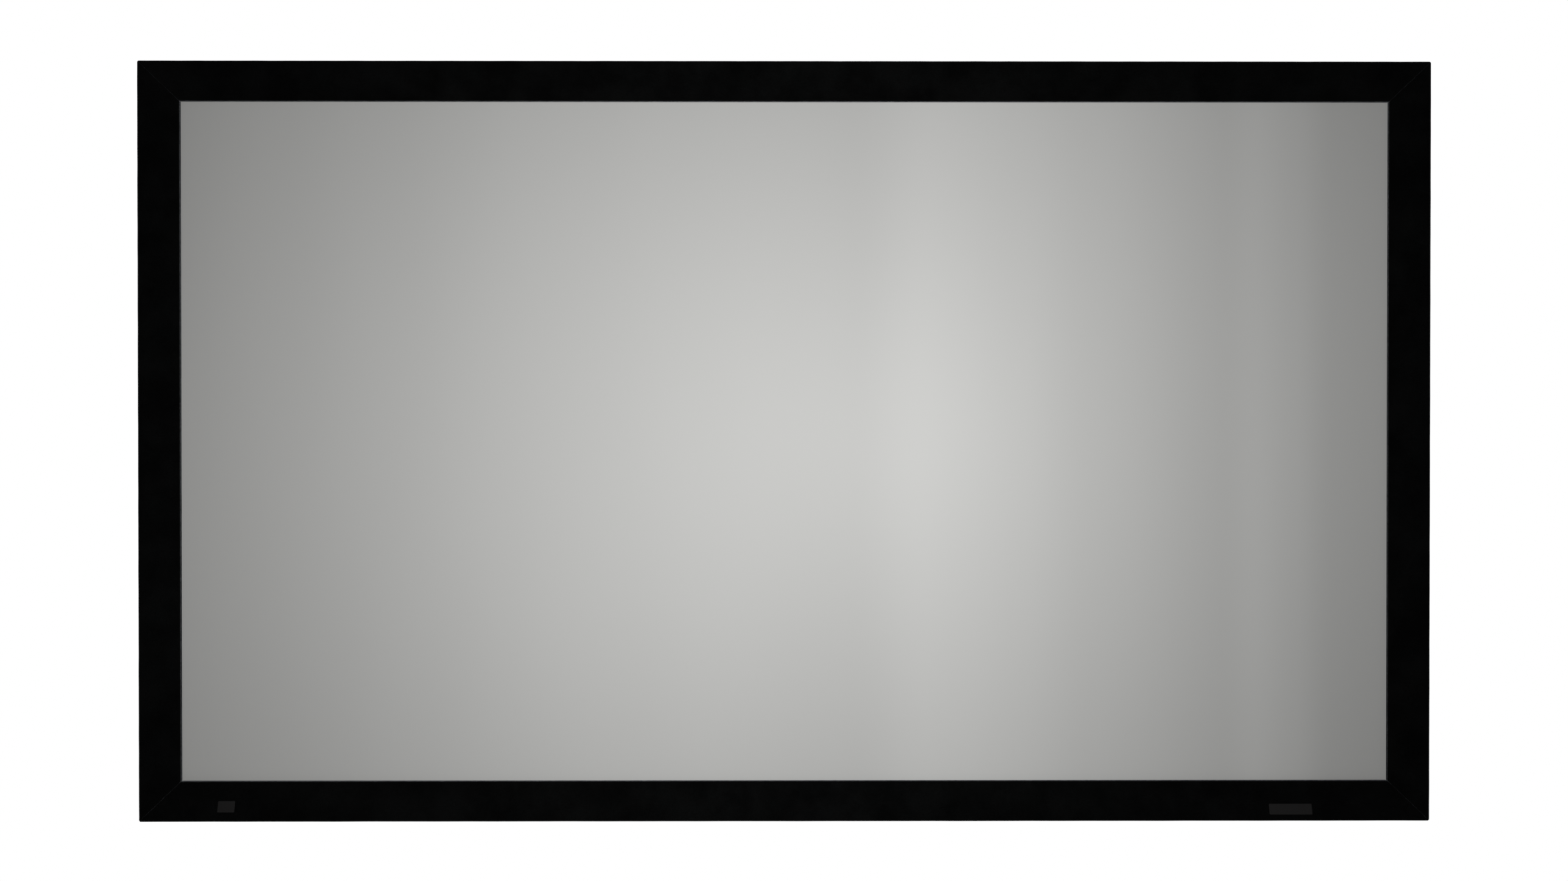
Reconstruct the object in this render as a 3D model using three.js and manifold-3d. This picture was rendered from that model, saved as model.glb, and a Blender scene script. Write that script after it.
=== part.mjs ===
// A fixed frame projector screen, 110 inches across the diagonal of its 16:9 image.
//
// Four mitred aluminium rails of one section, each wrapped in black velvet, make the frame. Two flat L
// brackets sit in the channels behind every corner and are locked by set screws. A grey screen membrane,
// welded to an edge band with press snaps, is stretched over the snap studs behind the rails. The top rail
// hangs on a long wall hanger, and the bottom rail is caught by two short ones.
//
// Millimetres, +X to the viewer's right, +Y into the wall, +Z up. The origin is the centre of the long wall
// hanger's back face, on the wall. A section is drawn in (u, d): u runs outward from the edge of the image,
// and d is the distance in front of the wall.

import * as THREE from "three";
import { mergeVertices } from "three/addons/utils/BufferGeometryUtils.js";
import Module from "manifold-3d";

const wasm = await Module();
wasm.setup();

// Image and frame
const IMAGE_WIDTH = 2438.4;
const IMAGE_HEIGHT = 1371.6;
const FACE_WIDTH = 76.2;
const BEVEL_DEGREES = 14;
const NOSE_RADIUS = 1.2;
const EDGE_RADIUS = 3;
const CORNER_RADIUS = 3.6;

// Velvet, and the gap that its glue fills
const VELVET = 0.8;
const GLUE = 0.3;
const NOSE_TUCK = 7;
const BACK_TUCK = 4;

// Rail section
const RAIL_WALL = 2;
const RAIL_GAP = 4;
const CHANNEL_DEPTH = 7;
const CHANNEL_LIP = 3.5;
const NOSE_HEIGHT = 6.4;
const NOSE_FLANGE = 9;
const SNAP_SHELF = 25;
const MITRE_GAP = 0.3;

// Membrane and its edge band
const IMAGE_PLANE = 10.2;
const MEMBRANE = 0.4;
const MEMBRANE_LAP = 12;
const BAND = 0.9;
const BAND_START = 3;

// Press snaps
const SNAP_SPACING = 220;
const SNAP_INSET = 25;
const SNAP_SIDES = 8;
const STUD_SHOULDER = 0.55;
const STUD_FLANGE = 0.7;
const STUD_FLANGE_RADIUS = 5;
const STUD_NECK_RADIUS = 2.4;
const STUD_NECK = 0.9;
const STUD_HEAD_RADIUS = 3.2;
const STUD_HEAD = 1.8;
const SOCKET_HEIGHT = 3.2;
const SOCKET_RADIUS = 6.2;
const SOCKET_LIP = 0.6;
const SNAP_PLAY = 0.4;
const CAP_RADIUS = 7.5;
const CAP_HEIGHT = 1.6;
const CAP_BEVEL = 1;

// Corner brackets and their set screws
const BRACKET = 3;
const BRACKET_LEG = 130;
const BRACKET_CHAMFER = 4;
const SCREW_RADIUS = 3;
const SCREW_LENGTH = 6;
const SCREW_KEY = 3;
const SCREW_KEY_DEPTH = 2.5;
const SCREW_KEY_SIDES = 6;
const SCREW_FIRST = 45;
const SCREW_SPACING = 55;
const SCREW_SIDES = 8;

// Wall hangers
const HANGER = 2.5;
const HANGER_FLOOR = 2.5;
const HANGER_FLANGE = 2.4;
const HANGER_CATCH = 2.6;
const HANGER_PLATE = 29;
const TOP_HANGER_LENGTH = 1320;
const LOWER_HANGER_LENGTH = 80;
const WALL_STUD_SPACING = 406.4;
const LOWER_HOLE_SPACING = 30;
const LOWER_HANGER_PLACE = 1.5 * WALL_STUD_SPACING;
const HOLE_INSET = 20;
const HOLE_RADIUS = 2.75;
const SINK_RADIUS = 5.2;
const SINK_DEPTH = 2;
const HOLE_SIDES = 12;

// Blank badge plates on the bottom rail, with their centres this far in from the frame's side and bottom
// edges. The left one has side -1, and the right one 1.
const LEFT_PLATE = { side: -1, inset: 173.5, rise: 29.3, width: 34, height: 22 };
const RIGHT_PLATE = { side: 1, inset: 278.5, rise: 23, width: 86, height: 21 };
const PLATE = 0.8;
const PLATE_RADIUS = 1.5;

// Clearance between pieces that seat on each other
const SEAT = 0.3;

// Steps of each kind of arc
const NOSE_STEPS = 3;
const EDGE_STEPS = 5;
const CORNER_STEPS = 4;
const PLATE_STEPS = 3;

// How far a cutter reaches past what it cuts, and how close together two corners are one
const PAST = 1;
const SAME_PLACE = 1e-4;

// Places in the section that follow from the sizes
const skin = GLUE + VELVET;
const railInner = skin;
const railOuter = FACE_WIDTH - skin;
const railBack = RAIL_GAP;
const bandFront = IMAGE_PLANE - MEMBRANE - SEAT;
const bandBack = bandFront - BAND;
const socketFront = bandFront + SOCKET_HEIGHT;
const flangeFace = socketFront + SEAT;
const shelfBack = flangeFace + STUD_FLANGE;
const noseBack = IMAGE_PLANE + SEAT + skin;
const noseCentre = new THREE.Vector2(railInner + NOSE_RADIUS, noseBack + NOSE_HEIGHT - NOSE_RADIUS);
const webInner = railInner + NOSE_FLANGE + SNAP_SHELF;
const channelWidth = (railOuter - webInner - 3 * RAIL_WALL) / 2;
const middleWeb = webInner + RAIL_WALL + channelWidth;
const channelFloor = railBack + CHANNEL_DEPTH;
const snapLine = railInner + NOSE_FLANGE + SNAP_SHELF / 2;
const bevel = THREE.MathUtils.degToRad(BEVEL_DEGREES);
const lipFront = railBack + RAIL_WALL;

// The height of a line parallel to the bevelled face, at a depth below the bare rail's surface
function underBevel(u, depth) {
  const across = (u - noseCentre.x) * Math.sin(bevel);
  return noseCentre.y + (NOSE_RADIUS - depth + across) / Math.cos(bevel);
}

// Points of an arc, both ends included
function arcPoints(centre, radius, from, to, steps) {
  return Array.from({ length: steps + 1 }, (_, i) => {
    const angle = from + ((to - from) * i) / steps;
    return new THREE.Vector2(
      centre.x + radius * Math.cos(angle),
      centre.y + radius * Math.sin(angle),
    );
  });
}

function ringPoints(centre, radius, sides) {
  return arcPoints(centre, radius, 0, 2 * Math.PI * (1 - 1 / sides), sides - 1);
}

function points(pairs) {
  return pairs.map(([u, d]) => new THREE.Vector2(u, d));
}

// The rail's outside, from under its nose over the bevelled face to the back lip, at a distance off the metal
function outsidePath(off) {
  const edgeU = railOuter - EDGE_RADIUS;
  const edgeCentre = new THREE.Vector2(edgeU, underBevel(edgeU, EDGE_RADIUS));
  const faceNormal = Math.PI / 2 + bevel;
  return [
    ...points([
      [railInner + NOSE_TUCK, noseBack - off],
      [railInner - off, noseBack - off],
    ]),
    ...arcPoints(noseCentre, NOSE_RADIUS + off, Math.PI, faceNormal, NOSE_STEPS),
    ...arcPoints(edgeCentre, EDGE_RADIUS + off, faceNormal, 0, EDGE_STEPS),
    ...points([
      [railOuter + off, railBack - off],
      [railOuter - BACK_TUCK, railBack - off],
    ]),
  ];
}

function railSection() {
  const outside = outsidePath(0).slice(1, -1);
  const wall = RAIL_WALL;
  const step = railInner + NOSE_FLANGE;
  const innerWeb = webInner + wall;
  const outerWeb = middleWeb + wall;
  const outerWall = railOuter - wall;
  const inside = points([
    [outerWall - CHANNEL_LIP, railBack],
    [outerWall - CHANNEL_LIP, lipFront],
    [outerWall, lipFront],
    [outerWall, channelFloor],
    [outerWeb, channelFloor],
    [outerWeb, lipFront],
    [outerWeb + CHANNEL_LIP, lipFront],
    [outerWeb + CHANNEL_LIP, railBack],
    [middleWeb - CHANNEL_LIP, railBack],
    [middleWeb - CHANNEL_LIP, lipFront],
    [middleWeb, lipFront],
    [middleWeb, channelFloor],
    [innerWeb, channelFloor],
    [innerWeb, lipFront],
    [innerWeb + CHANNEL_LIP, lipFront],
    [innerWeb + CHANNEL_LIP, railBack],
    [webInner, railBack],
    [webInner, shelfBack],
    [step, shelfBack],
    [step, noseBack],
  ]);
  return new THREE.Shape([...outside, ...inside]);
}

// The two hollows between the bevelled face and the channels, open at the mitred ends
function railChambers() {
  const wall = RAIL_WALL;
  const step = railInner + NOSE_FLANGE;
  const innerWeb = webInner + wall;
  const outerWeb = middleWeb + wall;
  const outerWall = railOuter - wall;
  const floorFront = channelFloor + wall;
  const shelfFront = shelfBack + wall;
  const noseFloor = noseBack + wall;
  const innerChamber = points([
    [railInner + wall, noseFloor],
    [step - wall, noseFloor],
    [step - wall, shelfFront],
    [innerWeb, shelfFront],
    [innerWeb, floorFront],
    [middleWeb, floorFront],
    [middleWeb, underBevel(middleWeb, wall)],
    [railInner + wall, underBevel(railInner + wall, wall)],
  ]);
  const corner = EDGE_RADIUS;
  const outerChamber = points([
    [outerWeb, floorFront],
    [outerWall, floorFront],
    [outerWall, underBevel(outerWall - corner, wall) - corner],
    [outerWall - corner, underBevel(outerWall - corner, wall)],
    [outerWeb, underBevel(outerWeb, wall)],
  ]);
  return [new THREE.Shape(innerChamber), new THREE.Shape(outerChamber)];
}

function velvetSection() {
  return new THREE.Shape([...outsidePath(skin), ...outsidePath(GLUE).reverse()]);
}

function rectangle(u0, u1, d0, d1) {
  return new THREE.Shape(
    points([
      [u0, d0],
      [u1, d0],
      [u1, d1],
      [u0, d1],
    ]),
  );
}

// A closed solid for the boolean cuts and joins
function solid(geometry) {
  const bare = geometry.index ? geometry.toNonIndexed() : geometry.clone();
  bare.deleteAttribute("normal");
  bare.deleteAttribute("uv");
  const merged = mergeVertices(bare, SAME_PLACE);
  const index = merged.index.array;
  const triangles = [];
  for (let i = 0; i < index.length; i += 3) {
    const [a, b, c] = [index[i], index[i + 1], index[i + 2]];
    if (a !== b && b !== c && c !== a) {
      triangles.push(a, b, c);
    }
  }
  return new wasm.Manifold(
    new wasm.Mesh({
      numProp: 3,
      vertProperties: merged.attributes.position.array,
      triVerts: new Uint32Array(triangles),
    }),
  );
}

function geometryOf(made) {
  const mesh = made.getMesh();
  const geometry = new THREE.BufferGeometry();
  geometry.setAttribute("position", new THREE.BufferAttribute(mesh.vertProperties, 3));
  geometry.setIndex(new THREE.BufferAttribute(mesh.triVerts, 1));
  const flat = geometry.toNonIndexed();
  flat.computeVertexNormals();
  return flat;
}

// A bar along X of a (u, d) section, with both ends mitred at 45 degrees where it meets its neighbours
function mitredBar(section, halfImage) {
  const geometry = new THREE.ExtrudeGeometry(section, { depth: 1, bevelEnabled: false });
  const place = geometry.attributes.position;
  const setBack = (MITRE_GAP * Math.SQRT2) / 2;
  for (let i = 0; i < place.count; i++) {
    const u = place.getX(i);
    const d = place.getY(i);
    const end = 2 * place.getZ(i) - 1;
    place.setXYZ(i, end * (halfImage + u - setBack), -d, u);
  }
  return geometry;
}

// A bar along X of a (u, d) section, with square ends
function squareBar(section, length) {
  const geometry = new THREE.ExtrudeGeometry(section, { depth: length, bevelEnabled: false });
  geometry.translate(0, 0, -length / 2);
  const place = geometry.attributes.position;
  for (let i = 0; i < place.count; i++) {
    place.setXYZ(i, place.getZ(i), -place.getY(i), place.getX(i));
  }
  return geometry;
}

// What rounds off both ends of a bar as seen from the front, where two bars meet in the frame's corner
function cornerCutters(halfImage, outer, radius) {
  const depth = underBevel(FACE_WIDTH, -skin) + PAST;
  return [-1, 1].map((end) => {
    const tip = halfImage + outer;
    const centre = new THREE.Vector2(tip - radius, outer - radius);
    const outline = [
      ...arcPoints(centre, radius, 0, Math.PI / 2, CORNER_STEPS),
      ...points([
        [tip - radius, outer + PAST],
        [tip + PAST, outer + PAST],
        [tip + PAST, outer - radius],
      ]),
    ];
    const placed = outline.map((p) => new THREE.Vector2(end * p.x, p.y));
    const geometry = new THREE.ExtrudeGeometry(new THREE.Shape(placed), {
      depth,
      bevelEnabled: false,
    });
    geometry.rotateX(Math.PI / 2);
    return solid(geometry);
  });
}

function cut(made, cutters) {
  return cutters.reduce((left, cutter) => left.subtract(cutter), made);
}

// A round solid about the depth axis. The profile gives (radius, distance in front of the wall), from the
// front to the back.
function turned(profile, sides, x, u) {
  const outline = profile.map(([radius, d]) => new THREE.Vector2(radius, -d));
  return solid(new THREE.LatheGeometry(outline, sides).translate(x, 0, u));
}

// Evenly spaced places along a rail for its snaps
function snapPlaces(halfImage) {
  const last = halfImage - SNAP_INSET;
  const intervals = Math.max(1, Math.round((2 * last) / SNAP_SPACING));
  return Array.from({ length: intervals + 1 }, (_, i) => -last + (2 * last * i) / intervals);
}

// The stud stands back from the shelf. It starts inside the metal, so that it joins.
function snapStud(x) {
  const root = shelfBack + RAIL_WALL / 2;
  const neckEnd = flangeFace - STUD_NECK;
  const headEnd = neckEnd - STUD_HEAD;
  const headWidest = neckEnd - STUD_HEAD * STUD_SHOULDER;
  const profile = [
    [0, root],
    [STUD_FLANGE_RADIUS, root],
    [STUD_FLANGE_RADIUS, flangeFace],
    [STUD_NECK_RADIUS, flangeFace],
    [STUD_NECK_RADIUS, neckEnd],
    [STUD_HEAD_RADIUS, headWidest],
    [STUD_NECK_RADIUS, headEnd],
    [0, headEnd],
  ];
  return turned(profile, SNAP_SIDES, x, snapLine);
}

// The socket and its cap are riveted together through the edge band
function snapSocket(x) {
  const inBand = bandFront - BAND / 2;
  const lipBack = socketFront - SOCKET_LIP;
  const throat = STUD_NECK_RADIUS + SNAP_PLAY;
  const cavity = STUD_HEAD_RADIUS + SNAP_PLAY;
  const cavityEnd = flangeFace - STUD_NECK - STUD_HEAD - SEAT;
  const profile = [
    [0, inBand],
    [0, cavityEnd],
    [cavity, cavityEnd],
    [cavity, lipBack],
    [throat, lipBack],
    [throat, socketFront],
    [SOCKET_RADIUS, socketFront],
    [SOCKET_RADIUS, inBand],
    [0, inBand],
  ];
  return turned(profile, SNAP_SIDES, x, snapLine);
}

function snapCap(x) {
  const inBand = bandBack + BAND / 2;
  const capBack = bandBack - CAP_HEIGHT;
  const profile = [
    [0, inBand],
    [CAP_RADIUS, inBand],
    [CAP_RADIUS, capBack + CAP_BEVEL],
    [CAP_RADIUS - CAP_BEVEL, capBack],
    [0, capBack],
  ];
  return turned(profile, SNAP_SIDES, x, snapLine);
}

function railGeometry(halfImage) {
  const bar = solid(mitredBar(railSection(), halfImage));
  const hollows = railChambers().map((chamber) => solid(mitredBar(chamber, halfImage + PAST)));
  const corners = cornerCutters(halfImage, railOuter, CORNER_RADIUS - skin);
  const rounded = cut(bar, [...hollows, ...corners]);
  const studs = snapPlaces(halfImage).map(snapStud);
  return geometryOf(studs.reduce((joined, stud) => joined.add(stud), rounded));
}

function velvetGeometry(halfImage) {
  const wrap = solid(mitredBar(velvetSection(), halfImage));
  return geometryOf(cut(wrap, cornerCutters(halfImage, FACE_WIDTH, CORNER_RADIUS)));
}

function bandGeometry(halfImage) {
  const section = rectangle(BAND_START, webInner - BAND_START, bandBack, bandFront);
  const strip = solid(mitredBar(section, halfImage));
  const snaps = snapPlaces(halfImage).flatMap((x) => [snapSocket(x), snapCap(x)]);
  return geometryOf(snaps.reduce((joined, snap) => joined.add(snap), strip));
}

function membraneGeometry() {
  const geometry = new THREE.BoxGeometry(
    IMAGE_WIDTH + 2 * MEMBRANE_LAP,
    MEMBRANE,
    IMAGE_HEIGHT + 2 * MEMBRANE_LAP,
  );
  return geometry.translate(0, MEMBRANE / 2 - IMAGE_PLANE, 0);
}

// An L bracket that fills the channel from a given start, drawn about the corner of the image. Its two legs
// run back along the rails from the channel's outer corner.
function bracketGeometry(channelStart) {
  const near = channelStart + SEAT;
  const far = channelStart + channelWidth - SEAT;
  const tip = far - BRACKET_LEG;
  const outline = new THREE.Shape(
    points([
      [tip, near],
      [near, near],
      [near, tip],
      [far, tip],
      [far, far - BRACKET_CHAMFER],
      [far - BRACKET_CHAMFER, far],
      [tip, far],
    ]),
  );
  outline.holes = screwPlaces(channelStart).map(
    (at) => new THREE.Path(ringPoints(at, SCREW_RADIUS + SEAT, SCREW_SIDES)),
  );
  const geometry = new THREE.ExtrudeGeometry(outline, { depth: BRACKET, bevelEnabled: false });
  geometry.rotateX(Math.PI / 2);
  return geometry.translate(0, -(lipFront + SEAT), 0);
}

// Where a bracket's set screws stand, from the corner of the image
function screwPlaces(channelStart) {
  const middle = channelStart + channelWidth / 2;
  const along = [0, 1].map((i) => middle - SCREW_FIRST - i * SCREW_SPACING);
  return [
    ...along.map((a) => new THREE.Vector2(a, middle)),
    ...along.map((a) => new THREE.Vector2(middle, a)),
  ];
}

// A headless set screw that presses on the channel's floor, with its key socket open to the back
function setScrewGeometry() {
  const front = channelFloor - SEAT;
  const back = front - SCREW_LENGTH;
  const body = turned(
    [
      [0, front],
      [SCREW_RADIUS, front],
      [SCREW_RADIUS, back],
      [0, back],
    ],
    SCREW_SIDES,
    0,
    0,
  );
  const keyRadius = SCREW_KEY / Math.sqrt(3);
  const key = turned(
    [
      [0, back + SCREW_KEY_DEPTH],
      [keyRadius, back + SCREW_KEY_DEPTH],
      [keyRadius, back - PAST],
      [0, back - PAST],
    ],
    SCREW_KEY_SIDES,
    0,
    0,
  );
  return geometryOf(body.subtract(key));
}

// A hanger's section. Its plate lies on the wall, and its floor and flange catch a lip of the rail that ends
// at lipEnd. Up is towards the top of the section, whichever rail it catches.
function hangerSection(lipEnd) {
  const floorTop = lipEnd - SEAT;
  const floorBottom = floorTop - HANGER_FLOOR;
  const flangeBack = lipFront + SEAT;
  const flangeFront = flangeBack + HANGER_FLANGE;
  return new THREE.Shape(
    points([
      [floorTop - HANGER_PLATE, 0],
      [floorTop, 0],
      [floorTop, flangeBack],
      [floorTop + HANGER_CATCH, flangeBack],
      [floorTop + HANGER_CATCH, flangeFront],
      [floorBottom, flangeFront],
      [floorBottom, HANGER],
      [floorTop - HANGER_PLATE, HANGER],
    ]),
  );
}

function hangerPlateMiddle(lipEnd) {
  return lipEnd - SEAT - HANGER_PLATE / 2;
}

// The places of as many evenly pitched holes as a hanger has room for
function holePlaces(length, pitch) {
  const intervals = Math.max(1, Math.floor((length - 2 * HOLE_INSET) / pitch));
  return Array.from({ length: intervals + 1 }, (_, i) => (i - intervals / 2) * pitch);
}

// A hanger cut to length, with countersunk holes in a row along the middle of its plate
function hangerGeometry(lipEnd, length, pitch) {
  const bar = solid(squareBar(hangerSection(lipEnd), length));
  const sinkStart = HANGER - SINK_DEPTH;
  const profile = [
    [0, HANGER + PAST],
    [SINK_RADIUS, HANGER + PAST],
    [SINK_RADIUS, HANGER],
    [HOLE_RADIUS, sinkStart],
    [HOLE_RADIUS, -PAST],
    [0, -PAST],
  ];
  const middle = hangerPlateMiddle(lipEnd);
  const holes = holePlaces(length, pitch).map((x) => turned(profile, HOLE_SIDES, x, middle));
  return geometryOf(cut(bar, holes));
}

// A blank badge plate, flat on the velvet of the bevelled face
function plateGeometry(plate) {
  const x = plate.width / 2 - PLATE_RADIUS;
  const y = plate.height / 2 - PLATE_RADIUS;
  const quarter = Math.PI / 2;
  const corners = [
    [x, y],
    [-x, y],
    [-x, -y],
    [x, -y],
  ];
  const outline = corners.flatMap(([cx, cy], i) =>
    arcPoints(new THREE.Vector2(cx, cy), PLATE_RADIUS, i * quarter, (i + 1) * quarter, PLATE_STEPS),
  );
  const geometry = new THREE.ExtrudeGeometry(new THREE.Shape(outline), {
    depth: PLATE,
    bevelEnabled: false,
  });
  return geometry.rotateX(Math.PI / 2);
}

// Materials, with the colours of the photograph
const velvetCloth = new THREE.MeshStandardMaterial({ color: 0x060606, roughness: 1 });
const millAluminium = new THREE.MeshStandardMaterial({
  color: 0xb4b6b8,
  roughness: 0.4,
  metalness: 1,
});
const screenCloth = new THREE.MeshStandardMaterial({ color: 0xa8a8a6, roughness: 0.7 });
const bandVinyl = new THREE.MeshStandardMaterial({ color: 0x141414, roughness: 0.6 });
const zincSteel = new THREE.MeshStandardMaterial({
  color: 0x9a9a94,
  roughness: 0.35,
  metalness: 1,
});
const screwSteel = new THREE.MeshStandardMaterial({
  color: 0x2c2c2e,
  roughness: 0.4,
  metalness: 1,
});
const plateSatin = new THREE.MeshStandardMaterial({
  color: 0x1c1c1c,
  roughness: 0.45,
  metalness: 0.3,
});

function named(name, geometry, material) {
  const mesh = new THREE.Mesh(geometry, material);
  mesh.name = name;
  return mesh;
}

// Rails, each with its velvet wrap and the edge band behind it
const screen = new THREE.Group();
const SIDES = [
  { name: "top", turn: 0, halfAlong: IMAGE_WIDTH / 2, halfAcross: IMAGE_HEIGHT / 2 },
  { name: "right", turn: 1, halfAlong: IMAGE_HEIGHT / 2, halfAcross: IMAGE_WIDTH / 2 },
  { name: "bottom", turn: 2, halfAlong: IMAGE_WIDTH / 2, halfAcross: IMAGE_HEIGHT / 2 },
  { name: "left", turn: 3, halfAlong: IMAGE_HEIGHT / 2, halfAcross: IMAGE_WIDTH / 2 },
];
const railGroups = {};
for (const side of SIDES) {
  const turn = new THREE.Group();
  turn.rotation.y = (side.turn * Math.PI) / 2;
  const rail = new THREE.Group();
  rail.position.z = side.halfAcross;
  rail.add(named(`rail_${side.name}`, railGeometry(side.halfAlong), millAluminium));
  rail.add(named(`velvet_wrap_${side.name}`, velvetGeometry(side.halfAlong), velvetCloth));
  rail.add(named(`edge_band_${side.name}`, bandGeometry(side.halfAlong), bandVinyl));
  turn.add(rail);
  screen.add(turn);
  railGroups[side.name] = rail;
}
screen.add(named("screen_membrane", membraneGeometry(), screenCloth));

// Corner brackets and set screws, two brackets to a corner
const CHANNELS = [
  { name: "inner", start: webInner + RAIL_WALL },
  { name: "outer", start: middleWeb + RAIL_WALL },
];
const CORNERS = [
  { name: "top_right", turn: 0, x: 1, z: 1 },
  { name: "bottom_right", turn: 1, x: 1, z: -1 },
  { name: "bottom_left", turn: 2, x: -1, z: -1 },
  { name: "top_left", turn: 3, x: -1, z: 1 },
];
const setScrew = setScrewGeometry();
for (const corner of CORNERS) {
  const group = new THREE.Group();
  group.position.set((corner.x * IMAGE_WIDTH) / 2, 0, (corner.z * IMAGE_HEIGHT) / 2);
  group.rotation.y = (corner.turn * Math.PI) / 2;
  for (const channel of CHANNELS) {
    const name = `${channel.name}_${corner.name}`;
    group.add(named(`corner_bracket_${name}`, bracketGeometry(channel.start), zincSteel));
    screwPlaces(channel.start).forEach((at, i) => {
      const screw = named(`set_screw_${name}_${i + 1}`, setScrew, screwSteel);
      screw.position.set(at.x, 0, at.y);
      group.add(screw);
    });
  }
  screen.add(group);
}

// The top hanger catches the outer lip of the top rail. The lower ones are of the same section, upright, and
// catch the lip beside the inner web of the bottom rail.
const topLipEnd = railOuter - RAIL_WALL - CHANNEL_LIP;
const topPlateMiddle = IMAGE_HEIGHT / 2 + hangerPlateMiddle(topLipEnd);
const lowerLipEnd = -(IMAGE_HEIGHT / 2 + webInner + RAIL_WALL + CHANNEL_LIP);
const topHanger = hangerGeometry(topLipEnd, TOP_HANGER_LENGTH, WALL_STUD_SPACING);
railGroups.top.add(named("wall_hanger_top", topHanger, millAluminium));
const lowerHanger = hangerGeometry(0, LOWER_HANGER_LENGTH, LOWER_HOLE_SPACING);
for (const [name, x] of [
  ["left", -LOWER_HANGER_PLACE],
  ["right", LOWER_HANGER_PLACE],
]) {
  const hanger = named(`wall_hanger_lower_${name}`, lowerHanger, millAluminium);
  hanger.position.set(x, 0, lowerLipEnd);
  screen.add(hanger);
}

// Badge plates. The bottom rail's group is turned half round, so X runs the other way there.
for (const [name, plate] of [
  ["left", LEFT_PLATE],
  ["right", RIGHT_PLATE],
]) {
  const badge = named(`badge_plate_${name}`, plateGeometry(plate), plateSatin);
  const x = plate.side * (IMAGE_WIDTH / 2 + FACE_WIDTH - plate.inset);
  const u = FACE_WIDTH - plate.rise;
  const lift = skin + SEAT;
  badge.position.set(-x, -underBevel(u, -lift), u);
  badge.rotation.x = bevel;
  railGroups.bottom.add(badge);
}

// The image's centre lies below the top hanger
const part = new THREE.Group();
screen.position.z = -topPlateMiddle;
part.add(screen);

export default part;
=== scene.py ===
"""Looks for a fixed frame projector screen: velvet over mitred rails, a grey membrane on press snaps, and
the hardware behind it.

Lengths are in millimetres until a mesh is made, and Blender's own units are metres. A section is drawn in
(u, d): u runs outward from the image's edge, and d forward from the wall. A turned piece's profile is drawn
in (radius, d)."""

import math

import bmesh
import bpy
import numpy as np
from mathutils import Matrix, Quaternion, Vector


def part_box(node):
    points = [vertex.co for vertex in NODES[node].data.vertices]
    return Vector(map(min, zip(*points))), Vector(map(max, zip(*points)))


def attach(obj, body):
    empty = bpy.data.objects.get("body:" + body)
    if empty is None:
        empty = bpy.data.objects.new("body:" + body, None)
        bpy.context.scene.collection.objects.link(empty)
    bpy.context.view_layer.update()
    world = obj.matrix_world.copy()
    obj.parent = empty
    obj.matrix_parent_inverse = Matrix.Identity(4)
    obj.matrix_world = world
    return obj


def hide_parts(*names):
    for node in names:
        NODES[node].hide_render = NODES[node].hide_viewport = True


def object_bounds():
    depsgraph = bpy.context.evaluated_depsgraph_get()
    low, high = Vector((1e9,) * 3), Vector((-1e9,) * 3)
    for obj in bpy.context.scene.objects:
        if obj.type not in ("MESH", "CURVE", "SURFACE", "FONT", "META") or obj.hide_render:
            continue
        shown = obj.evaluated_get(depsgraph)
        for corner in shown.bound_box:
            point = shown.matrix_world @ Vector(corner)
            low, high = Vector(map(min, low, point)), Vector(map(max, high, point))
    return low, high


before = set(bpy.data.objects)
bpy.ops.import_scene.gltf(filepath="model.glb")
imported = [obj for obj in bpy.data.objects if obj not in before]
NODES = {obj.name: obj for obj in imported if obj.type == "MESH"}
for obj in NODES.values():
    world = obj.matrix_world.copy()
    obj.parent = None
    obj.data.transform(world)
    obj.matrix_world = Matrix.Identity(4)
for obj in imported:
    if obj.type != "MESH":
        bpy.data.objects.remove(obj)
cad_low, cad_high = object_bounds()

MM = 0.001

# The solids' own sizes: image, frame and rail section
IMAGE_W, IMAGE_H = 2438.4, 1371.6
FACE = 76.2
BEVEL = math.radians(14)
NOSE_R, EDGE_R, CORNER_R = 1.2, 3.0, 3.6
VELVET, GLUE = 0.8, 0.3
NOSE_TUCK, BACK_TUCK = 7.0, 4.0
RAIL_WALL, RAIL_BACK = 2.0, 4.0
CHANNEL_DEPTH = 7.0
NOSE_HEIGHT, NOSE_FLANGE = 6.4, 9.0
SNAP_SHELF = 25.0
MITRE_GAP = 0.3
SEAT = 0.3

# Membrane, edge bands and press snaps
IMAGE_D = 10.2
MEMBRANE, MEMBRANE_LAP = 0.4, 12.0
BAND, BAND_START = 0.9, 3.0
SNAP_INSET, SNAP_STEP = 25.0, 220.0
SOCKET_R, SOCKET_HEIGHT = 6.2, 3.2
CAP_R, CAP_HEIGHT = 7.5, 1.6

# Corner brackets and set screws
BRACKET, BRACKET_LEG, BRACKET_CHAMFER = 3.0, 130.0, 4.0
SCREW_R, SCREW_LENGTH = 3.0, 6.0
SCREW_FIRST, SCREW_SPACING = 45.0, 55.0

# Blank plates, with their centres this far in from the frame's side and bottom edges
LEFT_PLATE = {"side": -1, "inset": 173.5, "rise": 29.3, "width": 34, "height": 22}
RIGHT_PLATE = {"side": 1, "inset": 278.5, "rise": 23, "width": 86, "height": 21}
PLATE, PLATE_CORNER = 0.8, 1.5

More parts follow.
